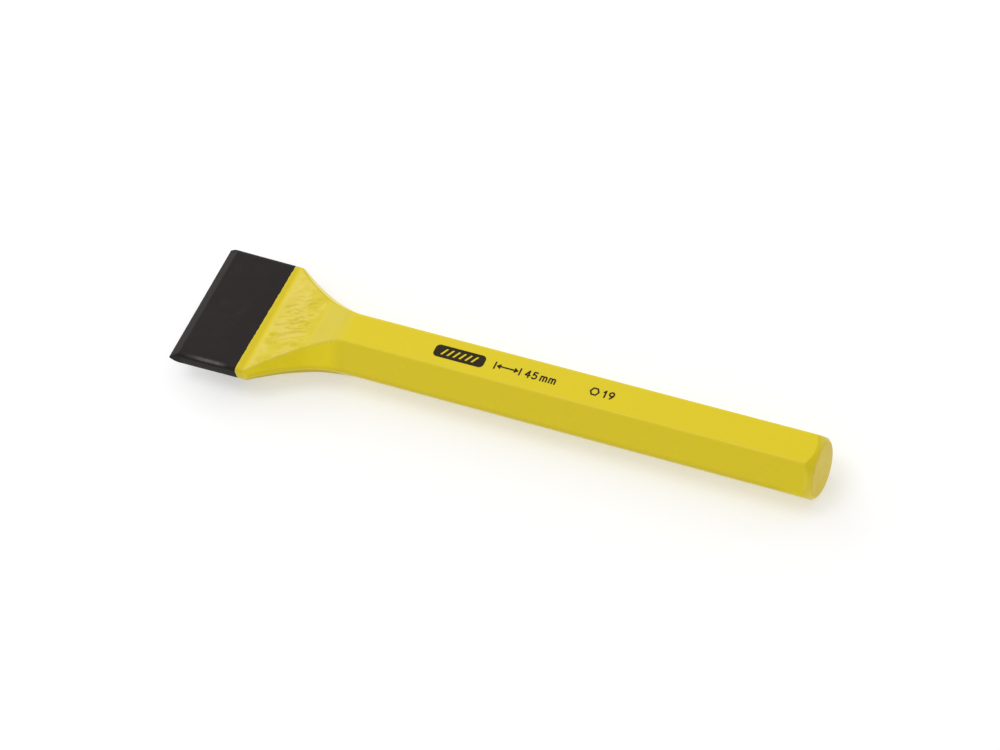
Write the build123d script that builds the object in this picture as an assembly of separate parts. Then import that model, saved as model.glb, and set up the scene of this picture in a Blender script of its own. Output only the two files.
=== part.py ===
from build123d import *
import math
import os

# A flat cold chisel forged from hexagon bar: flat blade, fanned neck, hexagon shank, struck end.
# While it is built, x runs from the cutting edge (x = 0) to the struck end, y runs across the
# blade, and z is up from the middle plane. At the end it is moved so that it lies on z = 0 with
# the middle of its length and width at the origin.

# Whole tool
length = 215.9
paint_line = 25.0
coat_thickness = 0.2

# Blade
edge_width = 45.0
root_width = 44.3
blade_thickness = 5.4
bevel_length = 3.6
edge_land = 0.6

# Neck, where the hexagon is forged out flat; its wedge steepens at a crease
neck_start = 27.0
crease = 44.7
neck_end = 58.0
fan_reach = 16.4
fan_power = 1.6
lower_slope = 0.2305
upper_slope = 0.29
wedge_round = 6.0
lofts_each_side_of_crease = 9

# Hexagon shank
across_flats = 19.45
ridge_flat = 0.9
flat_rounding = 1.2
ridge_rounding = 1.6
blade_side_chamfer = 0.6

# Struck end: a 45 degree cone takes the corners off, and its edge with the end face is rounded
end_cone_radius = 8.5
end_cone_length = 3.6
end_face_rounding = 2.0

# Printed marks on the upper flat, all reading from the blade towards the struck end
ink_thickness = 0.04
stroke = 0.52
mark_height = 2.4
badge_length = 17.4
badge_height = 4.6
badge_corner = 1.5
badge_bars = 6
badge_bar_pitch = 2.1
badge_bar_width = 0.75
badge_bar_lean = 0.7
badge_centre = 95.5
width_mark_start = 107.8
arrow_length = 8.6
arrow_head = 0.9
stock_mark_start = 140.4

half_stock = across_flats / 2
half_blade = blade_thickness / 2
sixty = math.sqrt(3)


def flat_half_width(x):
    """Half the width of the upper flat, which fans out from the shank to the blade."""
    reach = max(neck_end - x, 0) / (neck_end - neck_start)
    return half_stock / sixty + fan_reach * reach**fan_power


def half_height(x):
    """Half the thickness of the neck: two wedges, the second of which eases into the shank."""
    if x <= crease:
        return half_blade + lower_slope * (x - neck_start)
    at_crease = half_height(crease)
    wedge = at_crease + upper_slope * (x - crease)
    wedge_end = crease + (half_stock - at_crease) / upper_slope
    past = x - (wedge_end - wedge_round / 2)
    if past <= 0:
        return wedge
    if past >= wedge_round:
        return half_stock
    return wedge - upper_slope * past**2 / (2 * wedge_round)


def section(x, flat, widest, high, skin):
    """A flattened hexagon across the tool at x, with its outer corners cut upright and rounded.

    flat, widest and high are half sizes. The slanting sides always lean 30 degrees, and skin
    draws the whole outline in by that much.
    """
    corner_z = high - (widest - flat) * sixty
    flat = flat - skin / sixty
    widest = widest - skin
    high = high - skin
    corner_z = corner_z - skin * (2 - sixty)
    quarter = [(flat, high), (widest, corner_z)]
    lower = [(y, -z) for y, z in reversed(quarter)]
    right = quarter + lower
    left = [(-y, z) for y, z in reversed(right)]
    across = Plane(origin=(x, 0, 0), x_dir=(0, 1, 0), z_dir=(1, 0, 0))
    outline = Polygon(*right, *left, align=None)
    on_flat = [v for v in outline.vertices() if abs(abs(v.Y) - high) < 1e-6]
    outline = fillet(on_flat, flat_rounding - skin)
    on_side = [v for v in outline.vertices() if abs(abs(v.X) - widest) < 1e-6]
    outline = fillet(on_side, ridge_rounding - skin)
    return across * outline


def neck_section(x, skin):
    high = half_height(x)
    side = root_width / 2
    flat = min(flat_half_width(x), side - blade_side_chamfer)
    widest = min(side, flat + (high - ridge_flat / 2) / sixty)
    return section(x, flat, widest, high, skin)


def blade_section(x, width, skin):
    widest = width / 2
    return section(x, widest - blade_side_chamfer, widest, half_blade, skin)


def blade(skin):
    """The flat blade, with a bevel on each face down to a narrow land at the cutting edge."""
    body = loft([blade_section(0, edge_width, skin), blade_section(neck_start, root_width, skin)])
    rise = (half_blade - edge_land / 2) / bevel_length
    drawn_in = skin * math.sqrt(1 + rise**2)
    tip = edge_land / 2 + rise * skin - drawn_in
    shoulder = half_blade - skin
    shoulder_x = skin + (shoulder - tip) / rise
    back = neck_start + 1
    upper = [(skin, tip), (shoulder_x, shoulder), (shoulder_x, edge_width), (back, edge_width)]
    lower = [(x, -z) for x, z in reversed(upper)]
    profile = Plane.XZ * Polygon(*upper, *lower, align=None)
    return body & extrude(profile, edge_width, both=True)


def narrowing_start():
    """Where the slanting sides of the fan have grown enough to leave the blade's upright side."""
    x = neck_start
    while root_width / 2 < flat_half_width(x) + (half_height(x) - ridge_flat / 2) / sixty:
        x += 0.1
    return x


def neck_stretch(start, end, steps, skin):
    step = (end - start) / steps
    return loft([neck_section(start + step * i, skin) for i in range(steps + 1)])


def neck(skin):
    """The fan in three lofts, which meet where the blade's upright side ends and at the crease."""
    turn = narrowing_start()
    corner = neck_stretch(neck_start, turn, 2, skin)
    lower = neck_stretch(turn, crease, lofts_each_side_of_crease, skin)
    upper = neck_stretch(crease, neck_end, lofts_each_side_of_crease, skin)
    return corner + lower + upper


def shank(skin):
    """The straight hexagon, trimmed by the turned end."""
    bar = extrude(neck_section(neck_end, skin), length - neck_end, dir=(1, 0, 0))
    drawn_in = skin * (math.sqrt(2) - 1)
    end = length - skin
    face_radius = end_cone_radius - drawn_in
    over = face_radius + end_cone_length
    outline = Polygon(
        (neck_end - 1, 0),
        (end, 0),
        (end, face_radius),
        (end - end_cone_length, over),
        (neck_end - 1, over),
        align=None,
    )
    face_corner = outline.vertices().sort_by(Axis.X)[-2:].sort_by(Axis.Y)[-1]
    outline = fillet(face_corner, end_face_rounding - skin)
    return bar & revolve(Plane.XZ * outline, Axis.X)


def forging(skin):
    """The whole tool, drawn in by skin on every side."""
    return blade(skin) + neck(skin) + shank(skin)


def stroke_path(points):
    """Round-ended pen strokes through the points, as one flat shape."""
    shape = Sketch()
    for start, end in zip(points, points[1:]):
        shape += SlotArc(Line(start, end).edge(), stroke)
    return shape


def stroke_arc(centre, radius, start, sweep):
    return Sketch() + SlotArc(CenterArc(centre, radius, start, sweep).edge(), stroke)


def figure_four():
    tall = mark_height
    slope = stroke_path([(1.05, tall), (0.0, 0.75), (1.5, 0.75)])
    return slope + stroke_path([(1.05, tall), (1.05, 0.0)])


def figure_five():
    tall = mark_height
    top = stroke_path([(1.35, tall), (0.25, tall), (0.15, 1.3)])
    bowl_radius = 0.76
    return top + stroke_arc((0.6, bowl_radius), bowl_radius, -140, 265)


def figure_one():
    tall = mark_height
    return stroke_path([(0.0, tall - 0.6), (0.55, tall), (0.55, 0.0)])


def figure_nine():
    loop_radius = 0.72
    loop_height = mark_height - loop_radius
    loop = Circle(loop_radius + stroke / 2) - Circle(loop_radius - stroke / 2)
    tail = stroke_path([(2 * loop_radius, loop_height), (2 * loop_radius - 0.1, 1.0), (0.55, 0.0)])
    return Pos(loop_radius, loop_height) * loop + tail


def letter_m():
    hump = 0.48
    stem = 1.2
    shape = stroke_path([(0, 0), (0, stem + hump)])
    for start in (0, 2 * hump):
        shape += stroke_arc((start + hump, stem), hump, 0, 180)
        shape += stroke_path([(start + 2 * hump, stem), (start + 2 * hump, 0)])
    return shape


def printed(shapes):
    """Raises each flat shape into a film of ink on the upper flat, centred on its height."""
    films = []
    for x, shape in shapes:
        placed = Pos(x, -mark_height / 2, half_stock) * shape
        films += extrude(placed, ink_thickness).solids()
    return Compound(films)


def badge_print():
    """A plain dark panel with a row of leaning bars left open in it."""
    panel = RectangleRounded(badge_length, badge_height, badge_corner)
    half_bar = badge_bar_width / 2
    half_row = mark_height / 2
    bar = Polygon(
        (-half_bar - badge_bar_lean, -half_row),
        (half_bar - badge_bar_lean, -half_row),
        (half_bar + badge_bar_lean, half_row),
        (-half_bar + badge_bar_lean, half_row),
        align=None,
    )
    for i in range(badge_bars):
        panel -= Pos((i - (badge_bars - 1) / 2) * badge_bar_pitch, 0) * bar
    return extrude(Pos(badge_centre, 0, half_stock) * panel, ink_thickness)


def width_print():
    """A dimension arrow between two end lines, then the blade width."""
    middle = mark_height / 2
    arrow = stroke_path([(arrow_head, middle), (arrow_length - arrow_head, middle)])
    for tip, inward in ((arrow_head, 1), (arrow_length - arrow_head, -1)):
        back = tip + inward * arrow_head
        arrow += stroke_path([(back, middle + 0.6), (tip, middle), (back, middle - 0.6)])
    end_line = stroke_path([(0, 0), (0, mark_height)])
    marks = [
        (0, end_line),
        (0, arrow),
        (arrow_length, end_line),
        (arrow_length + 2.0, figure_four()),
        (arrow_length + 4.35, figure_five()),
        (arrow_length + 7.2, letter_m()),
        (arrow_length + 10.1, letter_m()),
    ]
    return printed([(width_mark_start + x, shape) for x, shape in marks])


def stock_print():
    """A small hexagon and the bar size across its flats."""
    hexagon_radius = 1.38
    corners = [
        (
            hexagon_radius * (1 + math.cos(math.radians(60 * i))),
            mark_height / 2 + hexagon_radius * math.sin(math.radians(60 * i)),
        )
        for i in range(7)
    ]
    marks = [(0, stroke_path(corners)), (4.4, figure_one()), (6.3, figure_nine())]
    return printed([(stock_mark_start + x, shape) for x, shape in marks])


outside = forging(0)
steel = forging(coat_thickness)
coat = outside - steel
blade_side = Pos(paint_line - length, 0, 0) * Box(2 * length, 4 * edge_width, 4 * edge_width)

nodes = {
    "steel_forging": steel,
    "black_lacquer": coat & blade_side,
    "yellow_enamel": coat - blade_side,
    "badge_print": badge_print(),
    "width_print": width_print(),
    "stock_print": stock_print(),
}

os.makedirs("parts", exist_ok=True)
lying = Pos(-length / 2, 0, half_stock)
for name, shape in nodes.items():
    solids = [lying * solid for solid in shape.solids()]
    export_step(Compound(solids), f"parts/{name}.step")
    print(name, round(shape.volume, 2), len(shape.solids()))
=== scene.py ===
import bpy
import bmesh
import math
from mathutils import Matrix, Vector, noise


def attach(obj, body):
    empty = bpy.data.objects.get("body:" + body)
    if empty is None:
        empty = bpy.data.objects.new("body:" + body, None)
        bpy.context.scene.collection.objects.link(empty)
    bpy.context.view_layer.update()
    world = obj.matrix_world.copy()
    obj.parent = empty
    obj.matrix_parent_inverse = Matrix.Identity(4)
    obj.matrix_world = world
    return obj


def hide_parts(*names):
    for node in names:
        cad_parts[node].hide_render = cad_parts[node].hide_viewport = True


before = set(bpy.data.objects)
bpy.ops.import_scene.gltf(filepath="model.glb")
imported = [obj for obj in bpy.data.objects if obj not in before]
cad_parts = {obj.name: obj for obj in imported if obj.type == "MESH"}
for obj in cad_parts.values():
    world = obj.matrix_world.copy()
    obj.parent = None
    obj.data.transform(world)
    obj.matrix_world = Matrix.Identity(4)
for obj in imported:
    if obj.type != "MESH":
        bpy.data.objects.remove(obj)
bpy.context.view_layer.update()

scene = bpy.context.scene
mm = 0.001
tanSixty = math.sqrt(3)

# Lengths below are in millimetres along the tool from its cutting edge, across it, and up from
# its middle plane, until toFrame turns them into metres in the frame.
toolLength = 215.9
midHeight = 9.725


def toFrame(x, y, z):
    return Vector(((x - toolLength / 2) * mm, y * mm, (z + midHeight) * mm))


# Camera, floor and light

view = {
    "azimuth": 36.556,        # degrees round from looking along +Y
    "elevation": 52.413,
    "roll": -15.555,
    "distance": 1.10677,      # metres from the point it looks at
    "aim": (106.347, 3.028, 0.0),
    "lens": 127.16,
    "sensor": 36.0,
    "reach": 20.0,            # metres that the camera sees
}

studio = {
    "surround": 0.86,         # white of the room
    "flag": 0.50,             # a darker screen low behind the camera, on the struck end's side
    "flagBearing": 62.0,
    "flagElevation": 8.0,
    "flagEdge": (0.25, 0.8),  # cosines of the angles from its middle between which it darkens
    "floorGrey": 0.62,
    "fibreShade": 0.985,
    "fibreSize": 60.0,
    "floorGlow": 0.42,        # lit a little from below, which keeps the shadow faint
    "floorSize": 40.0,
    "floorDrop": 0.05,        # millimetres, so that the lower flat and the floor never coincide
    "boxes": [                # name, bearing, elevation, distance, width, height, power
        ("farLeftBox", -122.0, 28.0, 3.0, 3.0, 1.7, 20.0),
        ("overheadBox", -80.0, 72.0, 3.0, 1.3, 1.3, 15.0),
    ],
}


def onSphere(bearing, elevation):
    a, e = math.radians(bearing), math.radians(elevation)
    return Vector((math.sin(a) * math.cos(e), -math.cos(a) * math.cos(e), math.sin(e)))


def standing(place, direction, roll=0.0):      # looks back along the direction, rolled about it
    turn = direction.to_track_quat("Z", "Y").to_matrix().to_4x4()
    return Matrix.Translation(place) @ turn @ Matrix.Rotation(math.radians(roll), 4, "Z")


def makeCamera():
    data = bpy.data.cameras.new("camera")
    data.lens = view["lens"]
    data.sensor_width = view["sensor"]
    data.clip_end = view["reach"]
    camera = bpy.data.objects.new("camera", data)
    scene.collection.objects.link(camera)
    direction = onSphere(view["azimuth"], view["elevation"])
    target = toFrame(*view["aim"])
    camera.matrix_world = standing(target + direction * view["distance"], direction, view["roll"])
    scene.camera = camera
    print("camera set")


def makeStudio():
    bm = bmesh.new()
    bmesh.ops.create_grid(bm, x_segments=1, y_segments=1, size=studio["floorSize"] / 2)
    floor = linked("floor", bm)
    floor.location.z = -studio["floorDrop"] * mm
    paper = Finish("palePaper", roughness=0.9, specular=0.1)
    fibre = paper.cloud(studio["fibreSize"], detail=3)
    grey = studio["floorGrey"]
    shaded = grey * studio["fibreShade"]
    paper.feed("Base Color", paper.blend(0.5 + 0.2 * fibre, [grey] * 3, [shaded] * 3))
    paper.shader.inputs["Emission Color"].default_value = (1.0, 1.0, 1.0, 1.0)
    paper.shader.inputs["Emission Strength"].default_value = studio["floorGlow"]
    floor.data.materials.append(paper.material)

    world = bpy.data.worlds.new("room")
    world.use_nodes = True
    tree = world.node_tree
    around = tree.nodes.new("ShaderNodeTexCoord")
    toFlag = tree.nodes.new("ShaderNodeVectorMath")
    toFlag.operation = "DOT_PRODUCT"
    toFlag.inputs[1].default_value = onSphere(studio["flagBearing"], studio["flagElevation"])
    fade = tree.nodes.new("ShaderNodeMapRange")
    fade.interpolation_type = "SMOOTHSTEP"
    fade.inputs["From Min"].default_value, fade.inputs["From Max"].default_value = studio["flagEdge"]
    fade.inputs["To Min"].default_value = studio["surround"]
    fade.inputs["To Max"].default_value = studio["flag"]
    tree.links.new(around.outputs["Generated"], toFlag.inputs[0])
    tree.links.new(toFlag.outputs["Value"], fade.inputs["Value"])
    tree.links.new(fade.outputs[0], tree.nodes["Background"].inputs["Strength"])
    tree.nodes["Background"].inputs["Color"].default_value = (1.0, 1.0, 1.0, 1.0)
    scene.world = world

    for name, bearing, elevation, distance, width, height, power in studio["boxes"]:
        data = bpy.data.lights.new(name, "AREA")
        data.shape = "RECTANGLE"
        data.size = width
        data.size_y = height
        data.energy = power
        lamp = bpy.data.objects.new(name, data)
        scene.collection.objects.link(lamp)
        direction = onSphere(bearing, elevation)
        lamp.matrix_world = standing(direction * distance, direction)
    scene.view_settings.view_transform = "Standard"
    print("floor, room and", len(studio["boxes"]), "soft boxes set")


# Shader building

class Amount:                 # a socket that takes part in ordinary arithmetic
    def __init__(self, finish, socket):
        self.finish = finish
        self.socket = socket

    def math(self, operation, *terms):
        made = self.finish.node("ShaderNodeMath", {"operation": operation}, dict(enumerate(terms)))
        return Amount(self.finish, made.outputs[0])

    def __add__(self, other):
        return self.math("ADD", self, other)

    def __radd__(self, other):
        return self.math("ADD", other, self)

    def __sub__(self, other):
        return self.math("SUBTRACT", self, other)

    def __rsub__(self, other):
        return self.math("SUBTRACT", other, self)

    def __mul__(self, other):
        return self.math("MULTIPLY", self, other)

    def __rmul__(self, other):
        return self.math("MULTIPLY", other, self)

    def __abs__(self):
        return self.math("ABSOLUTE", self)

    def least(self, other):
        return self.math("MINIMUM", self, other)

    def most(self, other):
        return self.math("MAXIMUM", self, other)


class Finish:                 # one material, with its coordinates in millimetres along the tool
    def __init__(self, name, roughness=0.5, specular=0.5, metallic=0.0):
        self.material = bpy.data.materials.new(name)
        self.material.use_nodes = True
        self.tree = self.material.node_tree
        self.tree.nodes.clear()
        self.shader = self.node("ShaderNodeBsdfPrincipled", None, {
            "Roughness": roughness, "Specular IOR Level": specular, "Metallic": metallic})
        self.node("ShaderNodeOutputMaterial", None, {"Surface": self.shader.outputs[0]})
        place = self.node("ShaderNodeTexCoord").outputs["Object"]
        start = (toolLength / 2, 0.0, -midHeight)
        self.place = self.node("ShaderNodeMapping", None, {
            "Vector": place, "Location": start, "Scale": (1 / mm,) * 3}).outputs[0]
        axes = self.node("ShaderNodeSeparateXYZ", None, {"Vector": self.place})
        self.x, self.y, self.z = (Amount(self, axes.outputs[i]) for i in range(3))

    def node(self, kind, settings=None, sockets=None):
        made = self.tree.nodes.new(kind)
        for name, value in (settings or {}).items():
            setattr(made, name, value)
        for key, value in (sockets or {}).items():
            value = value.socket if isinstance(value, Amount) else value
            if isinstance(value, bpy.types.NodeSocket):
                self.tree.links.new(value, made.inputs[key])
            else:
                made.inputs[key].default_value = value
        return made

    def feed(self, name, value):
        value = value.socket if isinstance(value, Amount) else value
        self.tree.links.new(value, self.shader.inputs[name])

    def turned(self, degrees, stretch):      # the same place in turned and stretched coordinates
        turn = (0.0, 0.0, math.radians(degrees))
        return self.node("ShaderNodeMapping", None, {
            "Vector": self.place, "Rotation": turn, "Scale": stretch}).outputs[0]

    def cloud(self, size, detail=2.0, roughness=0.5, at=None):      # soft noise, about 0.2 to 0.8
        made = self.node("ShaderNodeTexNoise", {"noise_dimensions": "3D"}, {
            "Vector": at or self.place, "Scale": 1 / size, "Detail": detail,
            "Roughness": roughness})
        return Amount(self, made.outputs[0])

    def ramp(self, value, start, end, low=0.0, high=1.0):
        made = self.node("ShaderNodeMapRange", {"interpolation_type": "SMOOTHSTEP"}, {
            "Value": value, "From Min": start, "From Max": end, "To Min": low, "To Max": high})
        return Amount(self, made.outputs[0])

    def past(self, stretch):                 # 0 before a stretch of the tool, 1 after it
        return self.ramp(self.x, *stretch)

    def along(self, start, stop):            # 1 from the end of one stretch to the start of another
        return self.past(start) * (1.0 - self.past(stop))

    def carried(self, name):                 # a value kept on the mesh's own points
        made = self.node("ShaderNodeAttribute", {"attribute_name": name})
        return Amount(self, made.outputs["Fac"])

    def blend(self, amount, first, second):
        first, second = (
            (*c, 1.0) if isinstance(c, (tuple, list)) else c for c in (first, second))
        made = self.node("ShaderNodeMix", {"data_type": "RGBA"}, {0: amount, 6: first, 7: second})
        return made.outputs[2]

    def bump(self, height):                  # height in millimetres
        made = self.node("ShaderNodeBump", None, {
            "Height": height, "Distance": mm, "Strength": 1.0})
        self.feed("Normal", made.outputs[0])


# The tool's surface: a flattened hexagon at every length, met by the bevels and the turned end

form = {
    "edgeHalf": 22.5, "rootHalf": 22.15, "bladeHalf": 2.7, "bladeSide": 0.6,
    "landHalf": 0.3, "bevelLength": 3.6, "bevelSoftness": 0.25,
    "neckStart": 27.0, "crease": 44.7, "neckEnd": 58.0,
    "fanReach": 16.4, "fanPower": 1.6, "lowerSlope": 0.2305, "upperSlope": 0.29,
    "wedgeRound": 6.0, "wedgeDelay": 0.7, "wedgeCatchesUp": (29.0, 42.0), "wedgeEase": 1.0,
    "ridgeFlat": 0.9, "flatRounding": 1.2, "ridgeRounding": 1.6,
    "coneRadius": 8.5, "coneLength": 3.6, "faceRounding": 2.0, "coneSoftness": 0.35,
    "coat": 0.2, "paintLine": 25.0, "paintWave": 0.15, "paintSkew": 0.02, "paintBack": 0.3,
    "paintReach": 2.0,        # how far from the paint line the rings follow its wandering
}

steps = {                     # parts of a quarter of the section, from the flat to the side
    "flat": 60, "flatCorner": 4, "slope": 14, "ridge": 3, "side": 1,
}
faceSteps = 8                 # rings of the end's rounding, and of its face
quarterSteps = sum(steps.values())
allRound = 4 * quarterSteps


def smooth(value, start, end):
    t = min(max((value - start) / (end - start), 0.0), 1.0)
    return t * t * (3 - 2 * t)


def softLower(a, b, softness):           # the lower of two, rounded where they cross
    if softness <= 0:
        return min(a, b)
    near = max(softness - abs(a - b), 0.0) / softness
    return min(a, b) - near * near * softness / 4


def halfHeight(x):
    late = form["wedgeDelay"] * (1 - smooth(x, *form["wedgeCatchesUp"]))
    past = max(x - late - form["neckStart"], 0.0)
    eased = past + form["wedgeEase"] / (1 + past)
    if x <= form["crease"]:
        return form["bladeHalf"] + form["lowerSlope"] * past * past / eased
    atCrease = halfHeight(form["crease"])
    wedge = atCrease + form["upperSlope"] * (x - form["crease"])
    meets = form["crease"] + (midHeight - atCrease) / form["upperSlope"]
    past = x - (meets - form["wedgeRound"] / 2)
    if past <= 0:
        return wedge
    if past >= form["wedgeRound"]:
        return midHeight
    return wedge - form["upperSlope"] * past ** 2 / (2 * form["wedgeRound"])


def sectionSizes(x):                     # half the flat, half the width, half the height
    if x <= form["neckStart"]:
        part = x / form["neckStart"]
        widest = form["edgeHalf"] + (form["rootHalf"] - form["edgeHalf"]) * part
        return widest - form["bladeSide"], widest, form["bladeHalf"]
    high = halfHeight(x)
    side = form["rootHalf"]
    reach = max(form["neckEnd"] - x, 0.0) / (form["neckEnd"] - form["neckStart"])
    flat = min(midHeight / tanSixty + form["fanReach"] * reach ** form["fanPower"],
               side - form["bladeSide"])
    return flat, min(side, flat + (high - form["ridgeFlat"] / 2) / tanSixty), high


def quarterOutline(x):                   # points from the middle of the flat to the side
    flat, widest, high = sectionSizes(x)
    cornerZ = high - (widest - flat) * tanSixty
    flatRound, ridgeRound = form["flatRounding"], form["ridgeRounding"]
    flatTrim = flatRound * math.tan(math.radians(30))
    ridgeTrim = ridgeRound * math.tan(math.radians(15))
    outline = []
    for i in range(steps["flat"]):
        outline.append((i / steps["flat"] * (flat - flatTrim), high, 90.0, 1.0))
    centre = (flat - flatTrim, high - flatRound)
    for i in range(steps["flatCorner"] + 1):
        turn = 90.0 - 60.0 * i / steps["flatCorner"]
        a = math.radians(turn)
        outline.append((centre[0] + flatRound * math.cos(a), centre[1] + flatRound * math.sin(a),
                        turn, 1.0 - i / steps["flatCorner"]))
    start = outline[-1]
    end = (widest - ridgeTrim / 2, cornerZ + ridgeTrim * tanSixty / 2)
    for i in range(1, steps["slope"]):
        t = i / steps["slope"]
        outline.append((start[0] + (end[0] - start[0]) * t, start[1] + (end[1] - start[1]) * t,
                        30.0, 0.0))
    centre = (widest - ridgeRound, cornerZ - ridgeTrim)
    for i in range(steps["ridge"] + 1):
        turn = 30.0 - 30.0 * i / steps["ridge"]
        a = math.radians(turn)
        outline.append((centre[0] + ridgeRound * math.cos(a), centre[1] + ridgeRound * math.sin(a),
                        turn, 0.0))
    outline.append((widest, 0.0, 0.0, 0.0))
    return outline


def wholeOutline(x):                     # (y, z, outward y, outward z, how much it is a flat)
    quarter = quarterOutline(x)
    points = []
    for j in range(allRound):
        side, i = divmod(j, quarterSteps)
        y, z, turn, flatness = quarter[i if side in (0, 2) else quarterSteps - i]
        a = math.radians(turn)
        acrossSign = 1 if side in (0, 1) else -1
        upSign = 1 if side in (0, 3) else -1
        points.append((y * acrossSign, z * upSign, math.cos(a) * acrossSign,
                       math.sin(a) * upSign, flatness))
    return points


forging = {                   # starts and stops are stretches from the cutting edge
    "foldLean": 12.0,         # degrees that the folds lean from the length of the tool
    "foldPitch": 1.9, "foldWidth": 0.9, "foldDepth": 0.08, "foldWander": 0.75,
    "foldStart": (28.0, 30.5), "foldStop": (40.5, 44.0), "foldMiddle": 1.0, "foldSpread": 10.0,
    "swellSize": 5.0, "swellDepth": 0.16, "neckStart": (27.0, 32.0), "neckStop": (52.0, 57.5),
    "bladeSwellSize": 9.0, "bladeSwell": 0.03, "bladeStart": (1.0, 5.0), "bladeStop": (24.0, 28.0),
    "valleyDepth": 0.07, "valleyWidth": 1.2, "valleyLean": 0.02, "valleyGrain": 3.5,
    "underDepth": 0.30,       # how much lower the hidden steel of the neck lies, clear of the folds
}


def grain(x, y, z, size, shift=0.0):
    return noise.noise(Vector((x / size + shift, y / size + shift, z / size)))


def foldAt(x, y, z):                     # 1 in the middle of a forging fold, 0 away from it
    lean = math.radians(forging["foldLean"])
    along = x * math.cos(lean) + y * math.sin(lean)
    across = y * math.cos(lean) - x * math.sin(lean)
    side = math.copysign(20.0, z)        # gives each face folds of its own
    wander = noise.noise(Vector((along / 3.5, across / 3.0, side)))
    wander += 0.35 * noise.noise(Vector((along / 1.3, across / 1.2, side)))
    turn = across / forging["foldPitch"] + forging["foldWander"] * wander
    fromLine = abs(turn - math.floor(turn) - 0.5) * 2
    sharp = max(0.0, 1.0 - fromLine / forging["foldWidth"])
    broken = smooth(noise.noise(Vector((along / 6.5, across / 1.3, side + 5.0))), -0.2, 0.2)
    middle = 0.2 + 0.8 * math.exp(-((y - forging["foldMiddle"]) / forging["foldSpread"]) ** 4)
    reach = smooth(x, *forging["foldStart"]) * (1 - smooth(x, *forging["foldStop"]))
    return sharp * sharp * (3 - 2 * sharp) * broken * middle * reach


def lumpAt(x, y, z, flatness, hidden):   # how far forging leaves the surface below its true form
    neck = smooth(x, *forging["neckStart"]) * (1 - smooth(x, *forging["neckStop"]))
    if hidden:
        return forging["underDepth"] * neck
    swell = (0.5 + 0.5 * grain(x, y, z, forging["swellSize"])) * forging["swellDepth"] * neck
    blade = smooth(x, *forging["bladeStart"]) * (1 - smooth(x, *forging["bladeStop"]))
    bladeGrain = grain(x, y, z, forging["bladeSwellSize"], 4.0)
    swell += (0.5 + 0.5 * bladeGrain) * forging["bladeSwell"] * blade
    valleyAt = form["crease"] + forging["valleyLean"] * y
    valley = math.exp(-((x - valleyAt) / forging["valleyWidth"]) ** 2)
    valleyGrain = grain(x, y, z, forging["valleyGrain"], 2.0)
    swell += forging["valleyDepth"] * valley * flatness * (0.7 + 0.9 * valleyGrain)
    return swell + forging["foldDepth"] * foldAt(x, y, z) * flatness


def paintWave(j, y):                     # the dipped edge wanders and leans a little
    turn = 2 * math.pi * j / allRound
    at = Vector((math.cos(turn), math.sin(turn), 0.0))
    wave = noise.noise(at * 14.0) + 0.6 * noise.noise(at * 31.0)
    return form["paintWave"] * wave + form["paintSkew"] * y - form["paintBack"]


class Skin:                              # a tube grown ring by ring along the tool
    def __init__(self):
        self.bm = bmesh.new()
        bmesh.ops.create_circle(self.bm, segments=allRound, radius=1.0)
        self.turn = self.bm.verts.layers.int.new("turn")
        self.fold = self.bm.verts.layers.float.new("fold")
        self.flatness = self.bm.verts.layers.float.new("flatness")
        self.bm.verts.ensure_lookup_table()
        for j, vert in enumerate(self.bm.verts):
            vert[self.turn] = j
        self.ring = list(self.bm.edges)
        self.started = False

    def grow(self, x, inset=0.0, rise=None, reach=None, softness=0.0):
        if self.started:
            made = bmesh.ops.extrude_edge_only(self.bm, edges=self.ring)["geom"]
            self.ring = [g for g in made if isinstance(g, bmesh.types.BMEdge)
                         and len(g.link_faces) == 1]
        self.started = True
        outline = wholeOutline(x)
        atPaint = max(0.0, 1.0 - abs(x - form["paintLine"]) / form["paintReach"])
        for vert in {v for edge in self.ring for v in edge.verts}:
            y, z, outY, outZ, flatness = outline[vert[self.turn]]
            down = inset + lumpAt(x, y, z, flatness, inset > form["coat"] / 2)
            vert[self.fold] = foldAt(x, y, z) * flatness
            vert[self.flatness] = flatness
            y -= outY * down
            z -= outZ * down
            if rise is not None:
                z = math.copysign(softLower(abs(z), rise, min(softness, rise)), z)
            if reach is not None:
                radius = math.hypot(y, z)
                kept = softLower(radius, reach, min(softness, reach))
                y, z = y * kept / radius, z * kept / radius
            vert.co = toFrame(x + atPaint * paintWave(vert[self.turn], y), y, z)

    def close(self):                     # merges each end into a point or line, turns faces out
        bmesh.ops.remove_doubles(self.bm, verts=self.bm.verts[:], dist=0.002 * mm)
        bmesh.ops.dissolve_degenerate(self.bm, edges=self.bm.edges[:], dist=0.0005 * mm)
        bmesh.ops.recalc_face_normals(self.bm, faces=self.bm.faces[:])
        for face in self.bm.faces:
            face.smooth = True
        return self.bm


def between(start, end, pitch):          # from start, stopping short of end
    count = max(1, round(abs(end - start) / pitch))
    return [start + (end - start) * i / count for i in range(count)]


def bevelRise(x, inset):
    rise = (form["bladeHalf"] - form["landHalf"]) / form["bevelLength"]
    return form["landHalf"] + rise * x - inset * math.sqrt(1 + rise ** 2)


ringPlan = {                  # millimetres along the tool, unless it says otherwise
    "landParts": (0.0, 0.5, 0.8),          # parts of the land's height, from its middle line up
    "bevelPitch": 0.2, "bevelTurn": 1.0, "bevelStop": 6.0,
    "beforePaint": (1.2, 0.6, 0.25), "afterPaint": (0.25, 0.6, 1.0), "neckAfterPaint": 1.4,
    "fineNeckStop": 46.0, "barStop": 206.0, "barEndPitch": 1.6, "coneStart": 212.4,
    "conePitch": 0.16,
}


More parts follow.
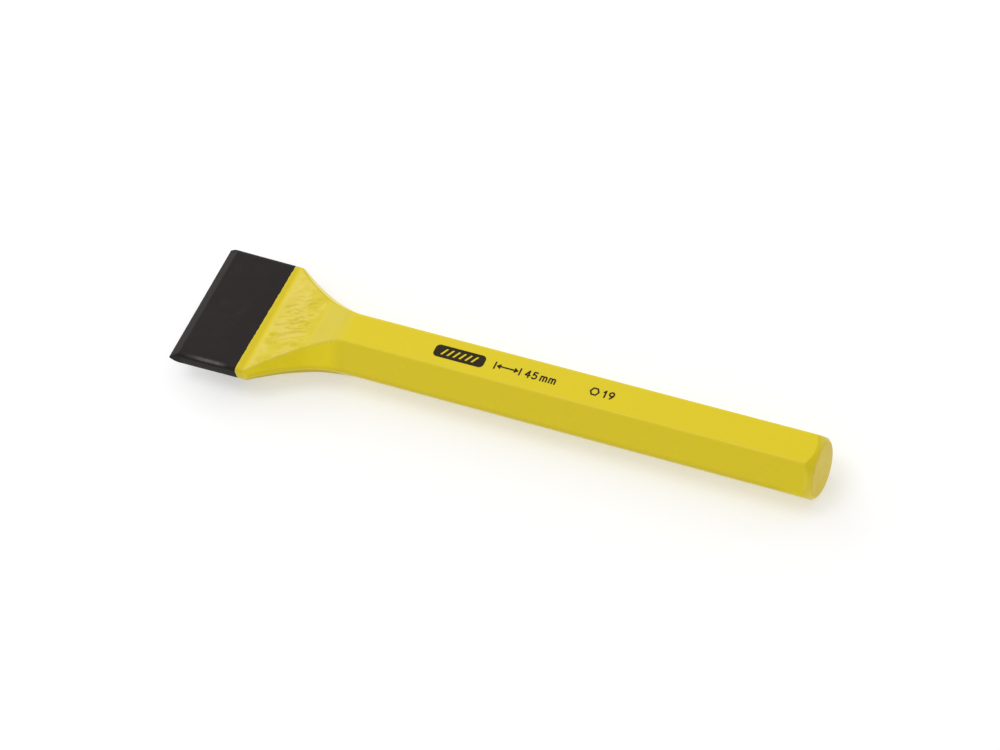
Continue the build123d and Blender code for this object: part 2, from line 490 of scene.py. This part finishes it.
def edgeRings(inset):                    # the cutting edge, from its middle line past the bevel
    land = bevelRise(inset, inset)
    rings = [dict(x=inset, rise=land * part) for part in ringPlan["landParts"]]
    pitch = ringPlan["bevelPitch"]
    places = [inset + 0.03] + between(inset + 0.12, ringPlan["bevelTurn"], pitch)
    places += between(ringPlan["bevelTurn"], ringPlan["bevelStop"], pitch)
    for x in places:
        rings.append(dict(x=x, rise=bevelRise(x, inset), softness=form["bevelSoftness"]))
    return rings


def bladeRings(inset, pitch):
    near = [form["paintLine"] - before for before in ringPlan["beforePaint"]]
    rest = between(ringPlan["bevelStop"], near[0], pitch) + near
    return edgeRings(inset) + [dict(x=x) for x in rest]


def neckRings(neckPitch, barPitch):
    line = form["paintLine"]
    rings = [line + after for after in ringPlan["afterPaint"]]
    rings += between(line + ringPlan["neckAfterPaint"], ringPlan["fineNeckStop"], neckPitch)
    rings += between(ringPlan["fineNeckStop"], form["neckEnd"], 2 * neckPitch)
    rings += between(form["neckEnd"], ringPlan["barStop"], barPitch)
    return [dict(x=x) for x in rings]


def endRings(inset):                     # the turned cone, its rounding and the end face
    faceRadius = form["coneRadius"] - inset * (math.sqrt(2) - 1)
    end = toolLength - inset
    rounding = form["faceRounding"] - inset
    trim = rounding * math.tan(math.radians(22.5))
    coneStop = end - trim / math.sqrt(2)
    coneStart = ringPlan["coneStart"]
    rings = [dict(x=x) for x in between(ringPlan["barStop"], coneStart, ringPlan["barEndPitch"])]
    for x in between(coneStart, coneStop, ringPlan["conePitch"]):
        rings.append(dict(x=x, reach=faceRadius + end - x, softness=form["coneSoftness"]))
    centreRadius = faceRadius - trim
    for i in range(faceSteps + 1):
        a = math.radians(45.0 - 45.0 * i / faceSteps)
        x = end - rounding + rounding * math.cos(a)
        rings.append(dict(x=x, reach=centreRadius + rounding * math.sin(a)))
    for i in range(1, faceSteps + 1):
        rings.append(dict(x=end, reach=centreRadius * (1 - i / faceSteps)))
    return rings


def linked(name, bm, *materials):
    mesh = bpy.data.meshes.new(name)
    bm.to_mesh(mesh)
    bm.free()
    made = bpy.data.objects.new(name, mesh)
    scene.collection.objects.link(made)
    for material in materials:
        mesh.materials.append(material)
    return made


def finishPiece(name, skin, node, material):
    piece = linked(name, skin.close(), material)
    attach(piece, "root")
    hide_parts(node)
    print(name, "made with", len(piece.data.polygons), "faces")


steelSkin = {"bladePitch": 1.0, "neckPitch": 1.0, "barPitch": 8.0}      # all of it hidden


def makeForgedSteel(material):
    inset = form["coat"]
    skin = Skin()
    blade = bladeRings(inset, steelSkin["bladePitch"])
    rest = neckRings(steelSkin["neckPitch"], steelSkin["barPitch"]) + endRings(inset)
    for ring in blade + rest:
        skin.grow(inset=inset, **ring)
    finishPiece("forgedSteel", skin, "steel_forging", material)


lacquerSkin = {
    "pitch": 0.8, "innerPitch": 1.0,
    "rim": ((-0.06, 0.01), (0.0, 0.05)),     # past the paint line and down, round the coat's edge
}


def makeLacquerCoat(material):           # outside from the edge to the paint line, then back inside
    inset = form["coat"]
    skin = Skin()
    for ring in bladeRings(0.0, lacquerSkin["pitch"]):
        skin.grow(**ring)
    line = form["paintLine"]
    for past, down in (*lacquerSkin["rim"], (0.0, inset)):
        skin.grow(line + past, down)
    for ring in reversed(bladeRings(inset, lacquerSkin["innerPitch"])):
        skin.grow(inset=inset, **ring)
    finishPiece("lacquerCoat", skin, "black_lacquer", material)


enamelSkin = {
    "neckPitch": 0.25, "barPitch": 5.0, "innerNeckPitch": 1.0, "innerBarPitch": 12.0,
    "rim": ((0.08, 0.01), (0.0, 0.06)),
}


def makeEnamelCoat(material):            # outside from the end face to the paint line, then inside
    inset = form["coat"]
    skin = Skin()
    outside = neckRings(enamelSkin["neckPitch"], enamelSkin["barPitch"]) + endRings(0.0)
    for ring in reversed(outside):
        skin.grow(**ring)
    line = form["paintLine"]
    for past, down in (*enamelSkin["rim"], (0.0, inset)):
        skin.grow(line + past, down)
    inside = neckRings(enamelSkin["innerNeckPitch"], enamelSkin["innerBarPitch"]) + endRings(inset)
    for ring in inside:
        skin.grow(inset=inset, **ring)
    finishPiece("enamelCoat", skin, "yellow_enamel", material)


# Finishes

enamel = {                    # colours, then stretches in millimetres from the cutting edge
    "bright": (0.735, 0.585, 0.0085),
    # painted light: the neck's sloping flanks made lighter and fuller
    "flank": (0.80, 0.645, 0.001),
    "deep": (0.645, 0.515, 0.001),         # where it pools, and painted shade on the bar's sloping sides and along the neck's far crest
    "paleSheen": (0.69, 0.555, 0.072),          # painted sheen on the neck's upper faces and painted highlight along the near crest
    "shade": (0.46, 0.36, 0.002),          # in folds, on the side ridges and under the flare
    # painted shade on the neck's upper wedge
    "shadedShoulder": (0.60, 0.485, 0.008),
    "lip": (0.64, 0.505, 0.001),           # a fuller band beside the paint line
    # paler toward the lower near side of the end's cone
    "paleLowNear": (0.80, 0.64, 0.05),
    "struck": (0.66, 0.47, 0.02),
    "gloss": 0.27, "roughness": 0.27,
    "lipStop": (26.2, 27.6),
    "forgedStart": (27.2, 29.6), "forgedStop": (43.0, 46.0),
    "neckStart": (27.0, 28.6), "neckStop": (52.0, 57.0),
    "shoulderStart": (43.5, 46.0), "shoulderStop": (53.0, 58.0),
    "ridgeStart": (26.0, 31.0), "ridgeStop": (205.0, 210.0),
    "paleLowNearStart": (212.6, 214.8), "struckStart": (215.2, 215.8),
}


def yellowEnamel():
    paint = Finish("yellowEnamel", specular=enamel["gloss"])
    fold = paint.carried("fold")
    flatness = paint.carried("flatness")
    slanted = 1.0 - flatness
    crest = 4.0 * flatness * slanted

    # Parts of the tool
    neck = paint.along(enamel["neckStart"], enamel["neckStop"])
    flank = neck * slanted
    under = flank * paint.ramp(paint.z, -0.2, -1.2)
    forged = paint.along(enamel["forgedStart"], enamel["forgedStop"]) * (0.2 + 0.8 * flatness)
    # painted shade on the upper wedge of the neck
    shadedShoulder = flatness * paint.along(enamel["shoulderStart"], enamel["shoulderStop"])
    ridge = 1.0 - paint.ramp(abs(paint.z), 0.4, 1.6)
    ridge = ridge * paint.along(enamel["ridgeStart"], enamel["ridgeStop"])
    nearCrest = crest * (1.0 - paint.ramp(paint.y, -3.0, 3.0))
    farCrest = neck * crest * paint.ramp(paint.y, 2.0, 6.0)
    middle = 1.0 - paint.ramp(abs(paint.y - 0.5), 2.0, 6.0)
    drift = 1.6 * (paint.cloud(5.0, 2.0) - 0.5)
    fromValley = abs(paint.x - form["crease"] - forging["valleyLean"] * paint.y + drift)
    valley = flatness * (1.0 - paint.ramp(fromValley, 0.6, 2.0))
    lip = 1.0 - paint.past(enamel["lipStop"])
    struck = paint.past(enamel["struckStart"])
    # paler toward the lower near side of the end's cone
    paleLowNear = paint.past(enamel["paleLowNearStart"])
    paleLowNear = paleLowNear * (1.0 - paint.ramp(paint.z + 0.6 * paint.y, -1.0, 6.0))

    # Where it pools, and where shade, sheen and highlight are painted
    fine = paint.turned(forging["foldLean"], (0.45, 1.0, 1.0))
    mottle = paint.ramp(paint.cloud(14.0, 3.0), 0.35, 0.65)
    speck = paint.ramp(paint.cloud(2.4, 4.0, 0.6, fine), 0.42, 0.66)
    patch = paint.ramp(paint.cloud(6.5, 3.0, 0.55), 0.42, 0.62)
    poolAndShade = 0.10 * mottle + forged * (0.35 * speck + 0.85 * patch)
    poolAndShade = (poolAndShade + valley * (0.2 + 0.2 * patch + 0.7 * middle)).least(1.0)
    # painted shade on the bar's sloping sides and along the neck's far crest
    poolAndShade = poolAndShade.most(0.35 * (1.0 - neck) * slanted).most(farCrest)
    # painted sheen on the neck's upper faces and a painted highlight along the near crest
    paler = neck * (flatness * (1.0 - patch) * (1.0 - valley) * 0.75 + 0.5 * nearCrest)
    paler = (paler + 0.06 * nearCrest).least(1.0)
    scuff = paint.ramp(paint.cloud(1.6, 4.0, 0.6, paint.turned(0.0, (1.0, 0.35, 1.0))), 0.5, 0.75)

    layers = [                # how much of each colour goes over the ones before it
        # painted light on the neck's sloping flanks
        (0.8 * flank, "flank"),
        (paler, "paleSheen"),
        (0.75 * shadedShoulder, "shadedShoulder"),
        (poolAndShade, "deep"),
        ((0.3 * ridge).most(0.8 * under), "shade"),
        ((0.55 * fold + 0.08 * forged * speck).least(1.0), "shade"),
        (0.5 * paleLowNear, "paleLowNear"),
        (lip, "lip"),
        (struck * (0.35 + 0.4 * scuff), "struck"),
    ]
    colour = enamel["bright"]
    for amount, name in layers:
        colour = paint.blend(amount, colour, enamel[name])
    paint.feed("Base Color", colour)
    dull = enamel["roughness"] + 0.06 * mottle + 0.14 * forged * speck + 0.15 * fold
    dull = dull + 0.12 * struck + 0.1 * struck * scuff + 0.4 * under + 0.4 * farCrest
    paint.feed("Roughness", dull)
    coarse = paint.turned(forging["foldLean"], (0.5, 1.0, 1.0))
    peel = 0.004 * paint.cloud(1.1, 1.0)
    rough = forged * 0.07 * paint.cloud(1.5, 4.0, 0.6, coarse)
    paint.bump(peel + rough + neck * 0.12 * paint.cloud(4.5, 2.0))
    return paint.material


lacquer = {
    "black": (0.0105, 0.0075, 0.006),
    "dust": (0.034, 0.031, 0.028),
    "edgeHighlight": (0.14, 0.13, 0.135),         # painted highlight along the near edge of the upper face
    "gloss": 0.15, "roughness": 0.38,
    "bevelStop": (2.8, 4.8),
    "highlightStart": (4.0, 16.0), "highlightStop": (17.5, 22.0), "highlightAcross": (-21.6, -20.4),
}


def blackLacquer():
    paint = Finish("blackLacquer", specular=lacquer["gloss"])
    flatness = paint.carried("flatness")
    slanted = 1.0 - flatness
    crest = 4.0 * flatness * slanted
    wear = paint.ramp(paint.cloud(5.0, 5.0, 0.65), 0.45, 0.8)
    drift = 1.2 * (paint.cloud(4.0, 3.0) - 0.5)
    bevel = 1.0 - paint.ramp(paint.x + drift, *lacquer["bevelStop"])
    nearSide = 1.0 - paint.ramp(paint.y, *lacquer["highlightAcross"])
    broken = paint.ramp(paint.cloud(3.0, 3.0), 0.3, 0.6, 0.6, 1.0)
    # painted highlight along the blade's near upper edge
    edgeHighlight = paint.along(lacquer["highlightStart"], lacquer["highlightStop"]) * nearSide * broken
    edgeHighlight = edgeHighlight * (flatness * 0.5 + crest).least(1.0)
    dust = (0.22 * wear + 0.25 * bevel * wear).least(1.0)
    colour = paint.blend(dust, lacquer["black"], lacquer["dust"])
    paint.feed("Base Color", paint.blend(0.85 * edgeHighlight, colour, lacquer["edgeHighlight"]))
    dull = 0.12 * wear + 0.18 * bevel + 0.16 * slanted
    paint.feed("Roughness", lacquer["roughness"] + dull)
    paint.bump(0.006 * paint.cloud(1.0, 2.0) + 0.03 * bevel * paint.cloud(2.6, 3.0))
    return paint.material


bareSteel = {
    "clean": (0.42, 0.41, 0.40),
    "scaled": (0.20, 0.19, 0.185),
    "gloss": 0.5, "roughness": 0.35,
}


def forgedSteelFinish():
    steel = Finish("forgedSteelFinish", specular=bareSteel["gloss"], metallic=1.0)
    scale = steel.ramp(steel.cloud(4.0, 5.0, 0.6), 0.4, 0.7)
    steel.feed("Base Color", steel.blend(scale, bareSteel["clean"], bareSteel["scaled"]))
    steel.feed("Roughness", bareSteel["roughness"] + 0.3 * scale)
    steel.bump(0.02 * steel.cloud(1.2, 4.0))
    return steel.material


printing = {
    "full": (0.022, 0.014, 0.004),
    "paler": (0.10, 0.075, 0.01),           # where the yellow shows through
    "gloss": 0.12, "roughness": 0.5,
}


def blackInk():
    ink = Finish("blackInk", specular=printing["gloss"])
    paler = ink.ramp(ink.cloud(0.5, 4.0, 0.65), 0.5, 0.78)
    ink.feed("Base Color", ink.blend(0.35 * paler, printing["full"], printing["paler"]))
    ink.feed("Roughness", printing["roughness"] + 0.15 * paler)
    ink.bump(0.004 * ink.cloud(0.6, 2.0))
    return ink.material


makeCamera()
makeStudio()

makeEnamelCoat(yellowEnamel())
makeLacquerCoat(blackLacquer())
makeForgedSteel(forgedSteelFinish())

ink = blackInk()
for name in ("badge_print", "width_print", "stock_print"):
    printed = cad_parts[name]
    printed.data.materials.clear()
    printed.data.materials.append(ink)
print("prints inked")
